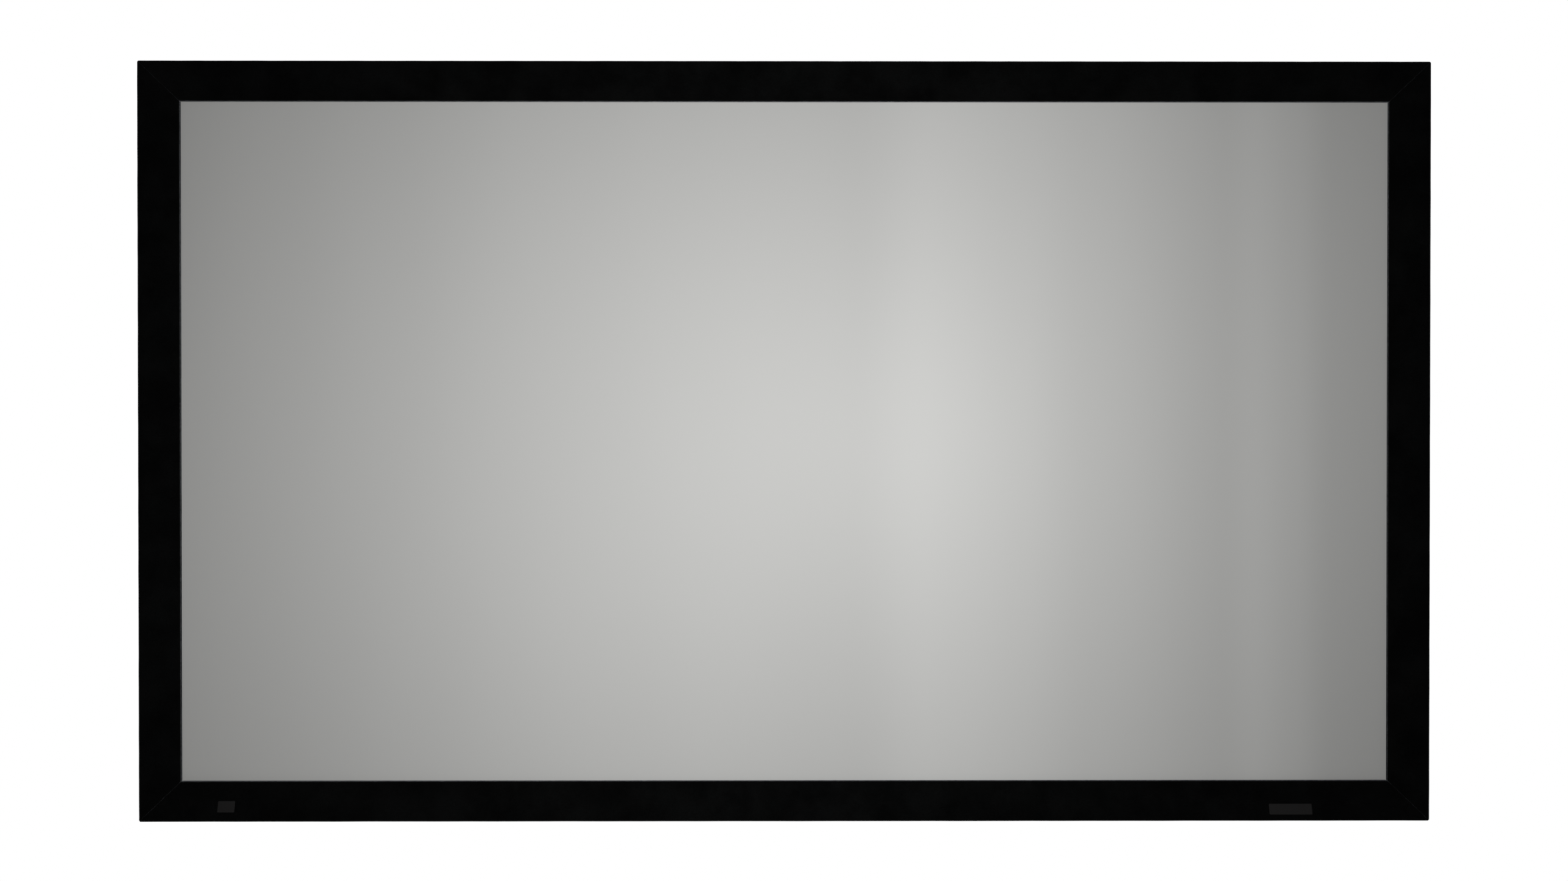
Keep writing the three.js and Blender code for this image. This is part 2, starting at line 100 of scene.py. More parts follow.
# Places in the section that follow from the sizes
SKIN = VELVET + GLUE
RAIL_IN, RAIL_OUT = SKIN, FACE - SKIN
NOSE_BACK = IMAGE_D + SEAT + SKIN
NOSE_C = (RAIL_IN + NOSE_R, NOSE_BACK + NOSE_HEIGHT - NOSE_R)
SNAP_U = RAIL_IN + NOSE_FLANGE + SNAP_SHELF / 2
WEB_IN = RAIL_IN + NOSE_FLANGE + SNAP_SHELF
BAND_IN, BAND_OUT = BAND_START, WEB_IN - BAND_START
BAND_FRONT = IMAGE_D - MEMBRANE - SEAT
BAND_BACK = BAND_FRONT - BAND
CHANNEL_W = (RAIL_OUT - WEB_IN - 3 * RAIL_WALL) / 2
CHANNELS = {
    "inner": WEB_IN + RAIL_WALL,
    "outer": WEB_IN + CHANNEL_W + 2 * RAIL_WALL,
}
BRACKET_MIDDLE = RAIL_BACK + RAIL_WALL + SEAT + BRACKET / 2
SCREW_FRONT = RAIL_BACK + CHANNEL_DEPTH - SEAT
SCREW_BACK = SCREW_FRONT - SCREW_LENGTH
MEMBRANE_W, MEMBRANE_H = IMAGE_W + 2 * MEMBRANE_LAP, IMAGE_H + 2 * MEMBRANE_LAP

# The height of the image's centre, from the membrane's solid
low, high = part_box("screen_membrane")
CENTRE_Z = (low.z + high.z) / 2 / MM

# Each side has its quarter turns about Y, half the length of its inner edge, and that edge's distance from
# the centre. Each corner has its quarter turns and its signs along X and Z.
SIDES = {
    "top": (0, IMAGE_W / 2, IMAGE_H / 2),
    "right": (1, IMAGE_H / 2, IMAGE_W / 2),
    "bottom": (2, IMAGE_W / 2, IMAGE_H / 2),
    "left": (3, IMAGE_H / 2, IMAGE_W / 2),
}
CORNERS = {
    "top_right": (0, 1, 1),
    "bottom_right": (1, 1, -1),
    "bottom_left": (2, -1, -1),
    "top_left": (3, -1, 1),
}
QUARTERS = [(1, 0), (0, 1), (-1, 0), (0, -1)]


# Places

def on_side(side, x, u, d):
    """A point of a rail, x along it, as a point of the part in metres."""
    turn, _, across = SIDES[side]
    c, s = QUARTERS[turn]
    z = u + across
    return (MM * (x * c + z * s), -MM * d, MM * (-x * s + z * c + CENTRE_Z))


def off_side(side, point):
    """A point of the part, in metres, as (x, u) of one of its rails."""
    turn, _, across = SIDES[side]
    c, s = QUARTERS[turn]
    px, pz = point[0] / MM, point[2] / MM - CENTRE_Z
    return px * c - pz * s, px * s + pz * c - across


def at_corner(corner, x, u, d):
    """x and u run outward along the image's two edges from its corner."""
    turn, sx, sz = CORNERS[corner]
    c, s = QUARTERS[turn]
    px = sx * IMAGE_W / 2 + x * c + u * s
    pz = sz * IMAGE_H / 2 - x * s + u * c
    return (MM * px, -MM * d, MM * (pz + CENTRE_Z))


def above_rail(u, lift):
    """The distance from the wall to a line along the bevelled face, lift above the bare metal."""
    return NOSE_C[1] + (NOSE_R + lift + (u - NOSE_C[0]) * math.sin(BEVEL)) / math.cos(BEVEL)


def arc(centre, radius, start, end, steps):
    angles = np.linspace(start, end, steps + 1)
    return [(centre[0] + radius * math.cos(a), centre[1] + radius * math.sin(a)) for a in angles]


def line(a, b, steps):
    """Points from a to b, without b."""
    return [(a[0] + (b[0] - a[0]) * i / steps, a[1] + (b[1] - a[1]) * i / steps) for i in range(steps)]


def snap_places(half):
    last = half - SNAP_INSET
    count = max(1, round(2 * last / SNAP_STEP))
    return [-last + 2 * last * i / count for i in range(count + 1)]


# Distances from a mitre at which a rail's pieces have points, close together near it
NEAR_MITRE = [0, 0.4, 0.8, 1.3, 2, 3, 4, 5.5, 7.5, 10, 14, 20]


def stations(half, step):
    """Shares of a rail's half length, with a given step between them away from the mitres."""
    inner = half - NEAR_MITRE[-1]
    count = round(2 * inner / step)
    middle = [(-inner + 2 * inner * i / count) / half for i in range(count + 1)]
    ends = [1 - t / half for t in NEAR_MITRE[:-1]]
    return np.array([-e for e in ends] + middle + ends[::-1])


def fade(distance, start, length):
    """0 up to the start, and 1 past its length."""
    return np.clip((distance - start) / length, 0, 1)


def ripple(a, b, seed, waves):
    """A smooth unevenness, about -1 to 1, from a few fixed waves over lengths a and b."""
    rng = np.random.default_rng(seed)
    total = 0.0
    for length_a, length_b in waves:
        p, q = rng.uniform(0, 2 * math.pi, 2)
        total = total + np.sin(2 * math.pi * a / length_a + p) * np.sin(2 * math.pi * b / length_b + q)
    return total / len(waves)


# Meshes: the angles past which an edge stays sharp, and the distance in metres that counts as none

SOFT_DEGREES, FORMED_DEGREES, FLAT_DEGREES = 60, 40, 25
SAME_PLACE = 0.00001


def in_scene(name, data):
    obj = bpy.data.objects.new(name, data)
    bpy.context.scene.collection.objects.link(obj)
    return obj


def new_piece(name, points, faces, material, uvs=None):
    mesh = bpy.data.meshes.new(name)
    mesh.from_pydata(points, [], faces)
    if uvs is not None:
        layer = mesh.uv_layers.new(name="along")
        index = np.zeros(len(mesh.loops), np.int32)
        mesh.loops.foreach_get("vertex_index", index)
        layer.data.foreach_set("uv", np.asarray(uvs, np.float32)[index].ravel())
    bm = bmesh.new()
    bm.from_mesh(mesh)
    bmesh.ops.recalc_face_normals(bm, faces=bm.faces)
    bm.to_mesh(mesh)
    bm.free()
    mesh.polygons.foreach_set("use_smooth", [True] * len(mesh.polygons))
    mesh.materials.append(material)
    return in_scene(name, mesh)


def finished(obj, slot, *replaced):
    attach(obj, "root")
    if replaced:
        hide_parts(*replaced)


def by_angle(obj, degrees):
    """Smooth shading that keeps the sharp edges sharp."""
    mesh = obj.data
    bm = bmesh.new()
    bm.from_mesh(mesh)
    for edge in bm.edges:
        if len(edge.link_faces) == 2 and edge.calc_face_angle(0) > math.radians(degrees):
            edge.smooth = False
    bm.to_mesh(mesh)
    bm.free()


def layered_faces(rows, cols):
    """Faces of a closed sheet with two layers of rows by cols points, the shown layer first."""
    size = rows * cols

    def at(layer, i, j):
        return layer * size + i * cols + j

    faces = []
    for i in range(rows - 1):
        for j in range(cols - 1):
            faces.append((at(0, i, j), at(0, i + 1, j), at(0, i + 1, j + 1), at(0, i, j + 1)))
            faces.append((at(1, i, j), at(1, i, j + 1), at(1, i + 1, j + 1), at(1, i + 1, j)))
        for j in (0, cols - 1):
            faces.append((at(0, i, j), at(1, i, j), at(1, i + 1, j), at(0, i + 1, j)))
    for j in range(cols - 1):
        for i in (0, rows - 1):
            faces.append((at(0, i, j), at(0, i, j + 1), at(1, i, j + 1), at(1, i, j)))
    return faces


def ring_faces(first, count):
    """Faces between two rings of count points that follow each other."""
    faces = []
    for k in range(count):
        a, b = first + k, first + (k + 1) % count
        faces.append((a, b, b + count, a + count))
    return faces


def joined(parts):
    """The points and faces of several parts as those of one."""
    points, faces = [], []
    for part_points, part_faces in parts:
        base = len(points)
        points += part_points
        faces += [tuple(base + i for i in face) for face in part_faces]
    return points, faces


# Nodes of materials. A Mix node's colour sockets share their names with its others, so they go by number.

MIX_A, MIX_B, MIX_RESULT = 6, 7, 2


def node_material(name):
    material = bpy.data.materials.new(name)
    material.use_nodes = True
    tree = material.node_tree
    return material, tree, tree.nodes["Principled BSDF"]


def link(tree, a, output, b, socket):
    tree.links.new(a.outputs[output], b.inputs[socket])


def texture_space(tree, scale=(1, 1, 1)):
    coords = tree.nodes.new("ShaderNodeTexCoord")
    mapping = tree.nodes.new("ShaderNodeMapping")
    mapping.inputs["Scale"].default_value = scale
    link(tree, coords, "Object", mapping, "Vector")
    return mapping


def noise(tree, space, scale, detail=3.0, roughness=0.5):
    node = tree.nodes.new("ShaderNodeTexNoise")
    node.inputs["Scale"].default_value = scale
    node.inputs["Detail"].default_value = detail
    node.inputs["Roughness"].default_value = roughness
    link(tree, space, "Vector", node, "Vector")
    return node


def ramp(tree, source, output, stops):
    node = tree.nodes.new("ShaderNodeValToRGB")
    while len(node.color_ramp.elements) < len(stops):
        node.color_ramp.elements.new(0.5)
    for element, (position, color) in zip(node.color_ramp.elements, stops):
        element.position = position
        element.color = (*color, 1)
    link(tree, source, output, node, "Fac")
    return node


def tones(tree, source, dark, light, span=(0.3, 0.7)):
    """A colour that goes from dark to light as a noise rises over a span."""
    return ramp(tree, source, "Fac", [(span[0], dark), (span[1], light)])


def mapped(tree, source, output, to, span=(0.0, 1.0)):
    """A value that goes over one range as its source goes over a span."""
    node = tree.nodes.new("ShaderNodeMapRange")
    node.inputs["From Min"].default_value, node.inputs["From Max"].default_value = span
    node.inputs["To Min"].default_value, node.inputs["To Max"].default_value = to
    link(tree, source, output, node, "Value")
    return node


def math_node(tree, operation):
    node = tree.nodes.new("ShaderNodeMath")
    node.operation = operation
    return node


def darker_where_low(tree, color, grain, output, dark, light):
    """A colour, darker where a grain is low and lighter where it is high. Where the grain is also a
    surface's bump, as on vinyl and velvet, this is painted shade in the hollows and painted light on the
    rises.
    """
    depth = ramp(tree, grain, output, [(0.0, (dark, dark, dark)), (1.0, (light, light, light))])
    mix = tree.nodes.new("ShaderNodeMix")
    mix.data_type = "RGBA"
    mix.blend_type = "MULTIPLY"
    mix.inputs["Factor"].default_value = 1.0
    link(tree, color, "Color", mix, MIX_A)
    link(tree, depth, "Color", mix, MIX_B)
    return mix


def bump(tree, source, output, shader, strength, distance):
    node = tree.nodes.new("ShaderNodeBump")
    node.inputs["Strength"].default_value = strength
    node.inputs["Distance"].default_value = distance
    link(tree, source, output, node, "Height")
    link(tree, node, "Normal", shader, "Normal")


# Materials, with their lengths in metres

def velvet_material():
    """Black pile, brushed unevenly, with a sheen at its edges."""
    material, tree, shader = node_material("black_velvet")
    shader.inputs["Roughness"].default_value = 1.0
    shader.inputs["Specular IOR Level"].default_value = 0.0
    shader.inputs["Sheen Weight"].default_value = 0.40
    shader.inputs["Sheen Roughness"].default_value = 0.28
    shader.inputs["Sheen Tint"].default_value = (0.62, 0.64, 0.68, 1)
    space = texture_space(tree)
    brushed = noise(tree, space, scale=14.0, detail=4.0, roughness=0.6)
    pile = noise(tree, space, scale=1400.0, detail=3.0, roughness=0.7)
    color = tones(tree, brushed, (0.0021, 0.0022, 0.0022), (0.0040, 0.0042, 0.0042), span=(0.35, 0.65))
    # Painted shade and light: the pile's colour is darkened where its bump is low and lightened where it is
    # high.
    pile_shade_mask = mapped(tree, pile, "Fac", to=(0.0, 1.0), span=(0.3, 0.7))
    pile_shade_and_light = darker_where_low(tree, color, pile_shade_mask, "Result", dark=0.05, light=1.9)
    link(tree, pile_shade_and_light, MIX_RESULT, shader, "Base Color")
    bump(tree, pile, "Fac", shader, strength=0.9, distance=0.0008)
    return material


def screen_material(name, tone, painted_bands):
    """A calendered grey film with a fine matte grain, and painted light and shade in soft vertical bands
    across it. The bands give the film's tone at places across it, in millimetres from its middle."""
    material, tree, shader = node_material(name)
    shader.inputs["Roughness"].default_value = 0.62
    shader.inputs["Specular IOR Level"].default_value = 0.12
    across = tree.nodes.new("ShaderNodeSeparateXYZ")
    link(tree, texture_space(tree, (1 / (MEMBRANE_W * MM), 1, 1)), "Vector", across, "Vector")
    place = mapped(tree, across, "X", to=(0.0, 1.0), span=(-0.5, 0.5))
    # Painted light and shade: the bands' tones go into the film's colour.
    stops = [(0.5 + at / MEMBRANE_W, tuple(share * part for part in tone)) for at, share in painted_bands]
    color = ramp(tree, place, "Result", stops)
    color.color_ramp.interpolation = "EASE"
    cloud = noise(tree, texture_space(tree, (2.2, 1, 0.5)), scale=1.0, detail=2.0, roughness=0.4)
    clouded = darker_where_low(tree, color, cloud, "Fac", dark=0.95, light=1.05)
    link(tree, clouded, MIX_RESULT, shader, "Base Color")
    grain = noise(tree, texture_space(tree), scale=1500.0, detail=2.0, roughness=0.6)
    bump(tree, grain, "Fac", shader, strength=0.25, distance=0.0001)
    return material


def pebbled(tree):
    """The grain that is pressed into vinyl."""
    grain = tree.nodes.new("ShaderNodeTexVoronoi")
    grain.feature = "DISTANCE_TO_EDGE"
    grain.inputs["Scale"].default_value = 650.0
    link(tree, texture_space(tree), "Vector", grain, "Vector")
    return grain, "Distance"


def knurled(tree):
    """The fine crossed lines that a welding tool leaves."""
    crossed = math_node(tree, "MAXIMUM")
    for slot, lean in enumerate((1, -1)):
        space = texture_space(tree)
        space.inputs["Rotation"].default_value = (0, lean * math.pi / 4, 0)
        wave = tree.nodes.new("ShaderNodeTexWave")
        wave.inputs["Scale"].default_value = 210.0
        link(tree, space, "Vector", wave, "Vector")
        link(tree, wave, "Fac", crossed, slot)
    return crossed, "Value"


def vinyl_material(name, dark, light, rough, grained):
    material, tree, shader = node_material(name)
    shader.inputs["Specular IOR Level"].default_value = 0.3
    cloud = noise(tree, texture_space(tree), scale=30.0, detail=4.0, roughness=0.6)
    color = tones(tree, cloud, dark, light)
    link(tree, mapped(tree, cloud, "Fac", to=rough), "Result", shader, "Roughness")
    grain, output = grained(tree)
    # Painted shade and light: the grain's hollows are darkened and its rises lightened in the colour.
    painted_grain_shade = darker_where_low(tree, color, grain, output, dark=0.35, light=1.5)
    link(tree, painted_grain_shade, MIX_RESULT, shader, "Base Color")
    bump(tree, grain, output, shader, strength=0.6, distance=0.0004)
    return material


def aluminium_material(name, scale):
    """Mill finish, with the die's fine lines along one axis."""
    material, tree, shader = node_material(name)
    shader.inputs["Metallic"].default_value = 1.0
    lines = noise(tree, texture_space(tree, scale), scale=1.0, detail=4.0, roughness=0.65)
    cloud = noise(tree, texture_space(tree), scale=18.0, detail=3.0, roughness=0.6)
    color = tones(tree, lines, (0.40, 0.404, 0.412), (0.53, 0.535, 0.545))
    link(tree, color, "Color", shader, "Base Color")
    link(tree, mapped(tree, cloud, "Fac", to=(0.3, 0.44)), "Result", shader, "Roughness")
    bump(tree, lines, "Fac", shader, strength=0.15, distance=0.0001)
    return material


def zinc_material():
    """Zinc plate, slightly blue, with a fine spangle."""
    material, tree, shader = node_material("zinc_steel")
    shader.inputs["Metallic"].default_value = 1.0
    space = texture_space(tree)
    spangle = noise(tree, space, scale=420.0, detail=5.0, roughness=0.7)
    cloud = noise(tree, space, scale=60.0, detail=4.0, roughness=0.6)
    color = tones(tree, cloud, (0.322, 0.329, 0.335), (0.372, 0.378, 0.384))
    spangled = darker_where_low(tree, color, spangle, "Fac", dark=0.78, light=1.2)
    link(tree, spangled, MIX_RESULT, shader, "Base Color")
    link(tree, mapped(tree, cloud, "Fac", to=(0.26, 0.42)), "Result", shader, "Roughness")
    bump(tree, cloud, "Fac", shader, strength=0.15, distance=0.0002)
    return material


def worn_metal(name, dark, light, rough):
    material, tree, shader = node_material(name)
    shader.inputs["Metallic"].default_value = 1.0
    cloud = noise(tree, texture_space(tree), scale=220.0, detail=4.0, roughness=0.6)
    link(tree, tones(tree, cloud, dark, light), "Color", shader, "Base Color")
    link(tree, mapped(tree, cloud, "Fac", to=rough), "Result", shader, "Roughness")
    return material


def plate_material():
    """Dark satin, brushed along the plate."""
    material, tree, shader = node_material("badge_satin")
    shader.inputs["Specular IOR Level"].default_value = 0.08
    grain = noise(tree, texture_space(tree, (60, 60, 1800)), scale=1.0, detail=3.0, roughness=0.6)
    color = tones(tree, grain, (0.0034, 0.0032, 0.0032), (0.0054, 0.005, 0.005))
    link(tree, color, "Color", shader, "Base Color")
    link(tree, mapped(tree, grain, "Fac", to=(0.45, 0.6)), "Result", shader, "Roughness")
    bump(tree, grain, "Fac", shader, strength=0.1, distance=0.00005)
    return material


# Painted light and shade: the film's tone in bands, left to right, at millimetres from its middle
LIGHT_AND_SHADE_BANDS = [
    (-MEMBRANE_W / 2, 0.96),
    (130, 0.96),
    (300, 1.07),
    (480, 1.05),
    (620, 1.01),
    (880, 0.97),
    (960, 1.05),
    (1030, 1.02),
    (1110, 0.93),
]
EVEN = [(-MEMBRANE_W / 2, 1.0), (MEMBRANE_W / 2, 1.0)]
velvet = velvet_material()
screen_front = screen_material("screen_grey_front", (0.589, 0.589, 0.575), LIGHT_AND_SHADE_BANDS)
screen_back = screen_material("screen_grey_back", (0.425, 0.425, 0.415), EVEN)
vinyl = vinyl_material("black_vinyl", (0.010, 0.010, 0.0105), (0.018, 0.018, 0.0185), (0.46, 0.62), pebbled)
weld = vinyl_material("welded_vinyl", (0.013, 0.013, 0.0135), (0.021, 0.021, 0.0215), (0.32, 0.42), knurled)
aluminium = {
    "x": aluminium_material("mill_aluminium_x", (1.5, 900, 900)),
    "z": aluminium_material("mill_aluminium_z", (900, 900, 1.5)),
}
zinc = zinc_material()
nickel = worn_metal("snap_nickel", (0.38, 0.372, 0.35), (0.47, 0.46, 0.435), (0.2, 0.34))
# Painted shade for the caps' grooves: a darker nickel.
groove_shade_nickel = worn_metal("snap_nickel_groove_shade", (0.15, 0.145, 0.13), (0.24, 0.23, 0.21), (0.4, 0.55))
black_oxide = worn_metal("black_oxide_steel", (0.030, 0.030, 0.032), (0.055, 0.055, 0.058), (0.3, 0.45))
satin = plate_material()


# Velvet wraps. The pile is slightly uneven where it lies over the rail, flat at both edges, and drawn in
# where two wraps meet in a closed mitre.

VELVET_STEP = 9.0
CLOSED_SEAM = 0.02
UNEVEN = 0.22
UNEVEN_WAVES = [(310, 95), (173, 61), (97, 140), (59, 47)]
FLAT_START, FLAT_END, FLAT_FADE = 16, 12, 14
SEAM_DIP, SEAM_REACH = 0.45, 1.6
VELVET_SEEDS = {"top": 11, "right": 12, "bottom": 13, "left": 14}


def velvet_path(off):
    """The wrap's section at a distance off the metal, from under the nose to the back lip."""
    edge_u = RAIL_OUT - EDGE_R
    edge_c = (edge_u, above_rail(edge_u, 0) - EDGE_R / math.cos(BEVEL))
    normal = math.pi / 2 + BEVEL
    nose = arc(NOSE_C, NOSE_R + off, math.pi, normal, 6)
    edge = arc(edge_c, EDGE_R + off, normal, 0, 8)
    tucked = (RAIL_IN + NOSE_TUCK, NOSE_BACK - off)
    under = (RAIL_IN - off, NOSE_BACK - off)
    back = (RAIL_OUT + off, RAIL_BACK - off)
    end = (RAIL_OUT - BACK_TUCK, RAIL_BACK - off)
    return [
        *line(tucked, under, 3),
        *line(under, nose[0], 2),
        *nose[:-1],
        *line(nose[-1], edge[0], 12),
        *edge[:-1],
        *line(edge[-1], back, 6),
        *line(back, end, 3),
        end,
    ]


def round_corner(x, u, tip, outer, radius):
    """Pulls the frame's square outer corner in to a round one."""
    a, b = np.abs(x) - (tip - radius), u - (outer - radius)
    inside = (a > 0) & (b > 0)
    k = np.where(inside, np.maximum(a, b) / np.maximum(np.hypot(a, b), 1e-9), 1.0)
    x = np.where(inside, np.sign(x) * (tip - radius + a * k), x)
    u = np.where(inside, outer - radius + b * k, u)
    return x, u


def make_velvet(side):
    half = SIDES[side][1]
    outer = np.array(velvet_path(SKIN))
    inner = np.array(velvet_path(GLUE))
    step = np.hypot(*np.diff(outer, axis=0).T)
    girth = np.concatenate([[0], np.cumsum(step)])
    tangent = np.gradient(outer, axis=0)
    normal = np.stack([-tangent[:, 1], tangent[:, 0]], 1)
    normal /= np.linalg.norm(normal, axis=1)[:, None]
    s, g = np.meshgrid(stations(half, VELVET_STEP), girth, indexing="ij")
    free = fade(g, FLAT_START, FLAT_FADE) * fade(girth[-1] - g, FLAT_END, FLAT_FADE)
    lift = UNEVEN * ripple(s * half, g, VELVET_SEEDS[side], UNEVEN_WAVES) * free
    from_mitre = half * (1 - np.abs(s))
    lift = lift - SEAM_DIP * np.clip(1 - from_mitre / SEAM_REACH, 0, 1) ** 2
    shown = outer[None] + normal[None] * lift[..., None]
    hidden = np.broadcast_to(inner[None], shown.shape)
    points, uvs = [], []
    for section, reach, radius in ((shown, FACE, CORNER_R), (hidden, FACE - VELVET, CORNER_R - VELVET)):
        u, d = section[..., 0], section[..., 1]
        x = s * (half + u - CLOSED_SEAM)
        x, u = round_corner(x, u, half + reach, reach, radius)
        points.append(np.stack(on_side(side, x, u, d), -1).reshape(-1, 3))
        uvs.append(np.stack([MM * x, MM * g], -1).reshape(-1, 2))
    faces = layered_faces(*s.shape)
    obj = new_piece(f"velvet_{side}", np.concatenate(points), faces, velvet, uvs=np.concatenate(uvs))
    by_angle(obj, SOFT_DEGREES)
    finished(obj, "velvet", f"velvet_wrap_{side}")


for side_name in SIDES:
    make_velvet(side_name)


# Membrane, stretched with a very slight waviness that dies out towards its laps

MEMBRANE_COLS, MEMBRANE_ROWS = 150, 90
WAVINESS = 0.18
MEMBRANE_WAVES = [(640, 5200), (410, 3900), (930, 2500)]
MEMBRANE_SEED = 5
TAUT_EDGE, TAUT_FADE = 8, 120


def make_membrane():
    x, z = np.meshgrid(
        np.linspace(-MEMBRANE_W / 2, MEMBRANE_W / 2, MEMBRANE_COLS),
        np.linspace(-MEMBRANE_H / 2, MEMBRANE_H / 2, MEMBRANE_ROWS),
        indexing="ij",
    )
    inset = np.minimum(MEMBRANE_W / 2 - np.abs(x), MEMBRANE_H / 2 - np.abs(z))
    free = fade(inset, MEMBRANE_LAP + TAUT_EDGE, TAUT_FADE)
    free = free * free * (3 - 2 * free)
    sag = WAVINESS * free * ripple(x, z, MEMBRANE_SEED, MEMBRANE_WAVES)
    layers = []
    for d in (IMAGE_D, IMAGE_D - MEMBRANE):
        place = np.stack([MM * x, -MM * (d + sag), MM * (z + CENTRE_Z)], -1)
        layers.append(place.reshape(-1, 3))
    faces = layered_faces(MEMBRANE_COLS, MEMBRANE_ROWS)
    obj = new_piece("screen_surface", np.concatenate(layers), faces, screen_front)
    obj.data.materials.append(screen_back)
    for polygon in obj.data.polygons:
        faces_wall = polygon.normal.y > 0.5
        polygon.material_index = 1 if faces_wall else 0
    by_angle(obj, SOFT_DEGREES)
    finished(obj, "screen", "screen_membrane")
    return obj


screen = make_membrane()


# Press snaps. A pressed cap has a flat underside, a rolled rim and a low dome. A turned socket has a rounded
# foot and rim, and a lip over the cavity that takes the stud's head.

SNAP_SEGMENTS = 28
CAP_BACK = BAND_BACK - CAP_HEIGHT
CAP_UNDER, CAP_UNDER_R = BAND_BACK - 0.6, 5.2
RIM_R = 0.7
RIM_C = (CAP_R - RIM_R, CAP_BACK + RIM_R + 0.1)
DOME_R, DOME_HEIGHT = 5.6, 0.3
# The ring of a cap's groove, as radii from its axis, that is given painted shade
GROOVE_SHADE_FROM, GROOVE_SHADE_TO = 5.4, 6.8
CAP = [
    (0, CAP_UNDER),
    (CAP_UNDER_R, CAP_UNDER),
    *arc(RIM_C, RIM_R, math.radians(70), math.radians(-135), 7),
    *[
        (DOME_R * math.cos(a), CAP_BACK + DOME_HEIGHT * (1 - math.sin(a)))
        for a in np.linspace(0, math.pi / 2, 5)[:-1]
    ],
    (0, CAP_BACK),
]

SOCKET_FRONT, SOCKET_BACK = BAND_FRONT + SOCKET_HEIGHT, BAND_FRONT + 0.05
THROAT_R, CAVITY_R = 2.8, 3.6
FOOT_R, LIP_R = 0.8, 0.7
SOCKET = [
    (0, SOCKET_BACK),
    *arc((SOCKET_R - FOOT_R, SOCKET_BACK + FOOT_R), FOOT_R, -math.pi / 2, 0, 3),
    *arc((SOCKET_R - FOOT_R, SOCKET_FRONT - FOOT_R), FOOT_R, 0, math.pi / 2, 3),
    *arc((THROAT_R + LIP_R, SOCKET_FRONT - LIP_R), LIP_R, math.pi / 2, math.pi, 3),
    (CAVITY_R - 0.1, SOCKET_FRONT - 0.9),
    (CAVITY_R, BAND_FRONT + 0.7),
    (CAVITY_R - 0.2, BAND_FRONT + 0.45),
    (0, BAND_FRONT + 0.4),
]


def turned(profile, side, x):
    """Points and faces of a closed solid turned about a snap's axis. Its profile starts and ends there."""
    points = [on_side(side, x, SNAP_U, profile[0][1])]
    for radius, d in profile[1:-1]:
        for k in range(SNAP_SEGMENTS):
            a = 2 * math.pi * k / SNAP_SEGMENTS
            points.append(on_side(side, x + radius * math.cos(a), SNAP_U + radius * math.sin(a), d))
    points.append(on_side(side, x, SNAP_U, profile[-1][1]))
    last = len(points) - 1 - SNAP_SEGMENTS
    faces = []
    for first in range(1, last, SNAP_SEGMENTS):
        faces += ring_faces(first, SNAP_SEGMENTS)
    for k in range(SNAP_SEGMENTS):
        n = (k + 1) % SNAP_SEGMENTS
        faces.append((0, 1 + n, 1 + k))
        faces.append((len(points) - 1, last + k, last + n))
    return points, faces


def make_snaps(side, name, profile):
    """One side's caps or sockets. A cap has painted shade in the groove round its dome: a darker, rougher
    nickel there.
    """
    places = snap_places(SIDES[side][1])
    parts = [turned(profile, side, x) for x in places]
    snaps = new_piece(f"{name}_{side}", *joined(parts), nickel)
    snaps.data.materials.append(groove_shade_nickel)
    for polygon in snaps.data.polygons:
        x, u = off_side(side, polygon.center)
        from_axis = math.hypot(min(abs(x - at) for at in places), u - SNAP_U)
        # Painted shade: the groove round a cap's dome takes the darker nickel.
        if profile is CAP and GROOVE_SHADE_FROM < from_axis < GROOVE_SHADE_TO:
            polygon.material_index = 1
    by_angle(snaps, FORMED_DEGREES)
    finished(snaps, "bracket_steel")
    return snaps


# Edge bands. A shallow welded strip runs along each, and the band stands off slightly between its snaps.

BAND_STEP = 10.0
BAND_ROUND = 0.3
BAND_BORDER = 1.2
WELD_IN, WELD_OUT = BAND_IN + 1.6, MEMBRANE_LAP - 1.0
WELD_DEPTH, WELD_SLOPE = 0.12, 0.25
INSIDE_WELD, BESIDE_WELD = 1.5, 2.0
SLACK, SLACK_EVEN, SLACK_UNEVEN = 0.35, 0.6, 0.4
SLACK_WAVES = [(260, 90), (140, 70)]
HELD_BY_SNAP, SNAP_FADE = 12, 40
HELD_BY_WELD, WELD_FADE = 14, 12
BAND_SEEDS = {"top": 31, "right": 32, "bottom": 33, "left": 34}


def band_section():
    r = BAND_ROUND
    sunk = BAND_BACK + WELD_DEPTH
    quarter = math.pi / 2
    return [
        *arc((BAND_IN + r, BAND_BACK + r), r, -2 * quarter, -quarter, 2),
        (WELD_IN, BAND_BACK),
        (WELD_IN + WELD_SLOPE, sunk),
        *line((WELD_IN + INSIDE_WELD, sunk), (WELD_OUT - WELD_SLOPE, sunk), 3),
        (WELD_OUT - WELD_SLOPE, sunk),
        (WELD_OUT, BAND_BACK),
        *line((WELD_OUT + BESIDE_WELD, BAND_BACK), (BAND_OUT - BAND_BORDER, BAND_BACK), 8),
        *arc((BAND_OUT - r, BAND_BACK + r), r, -quarter, 0, 2),
        *arc((BAND_OUT - r, BAND_FRONT - r), r, 0, quarter, 2),
        *line((BAND_OUT - BAND_BORDER, BAND_FRONT), (BAND_IN + BAND_BORDER, BAND_FRONT), 10),
        *arc((BAND_IN + r, BAND_FRONT - r), r, quarter, 2 * quarter, 2),
    ]


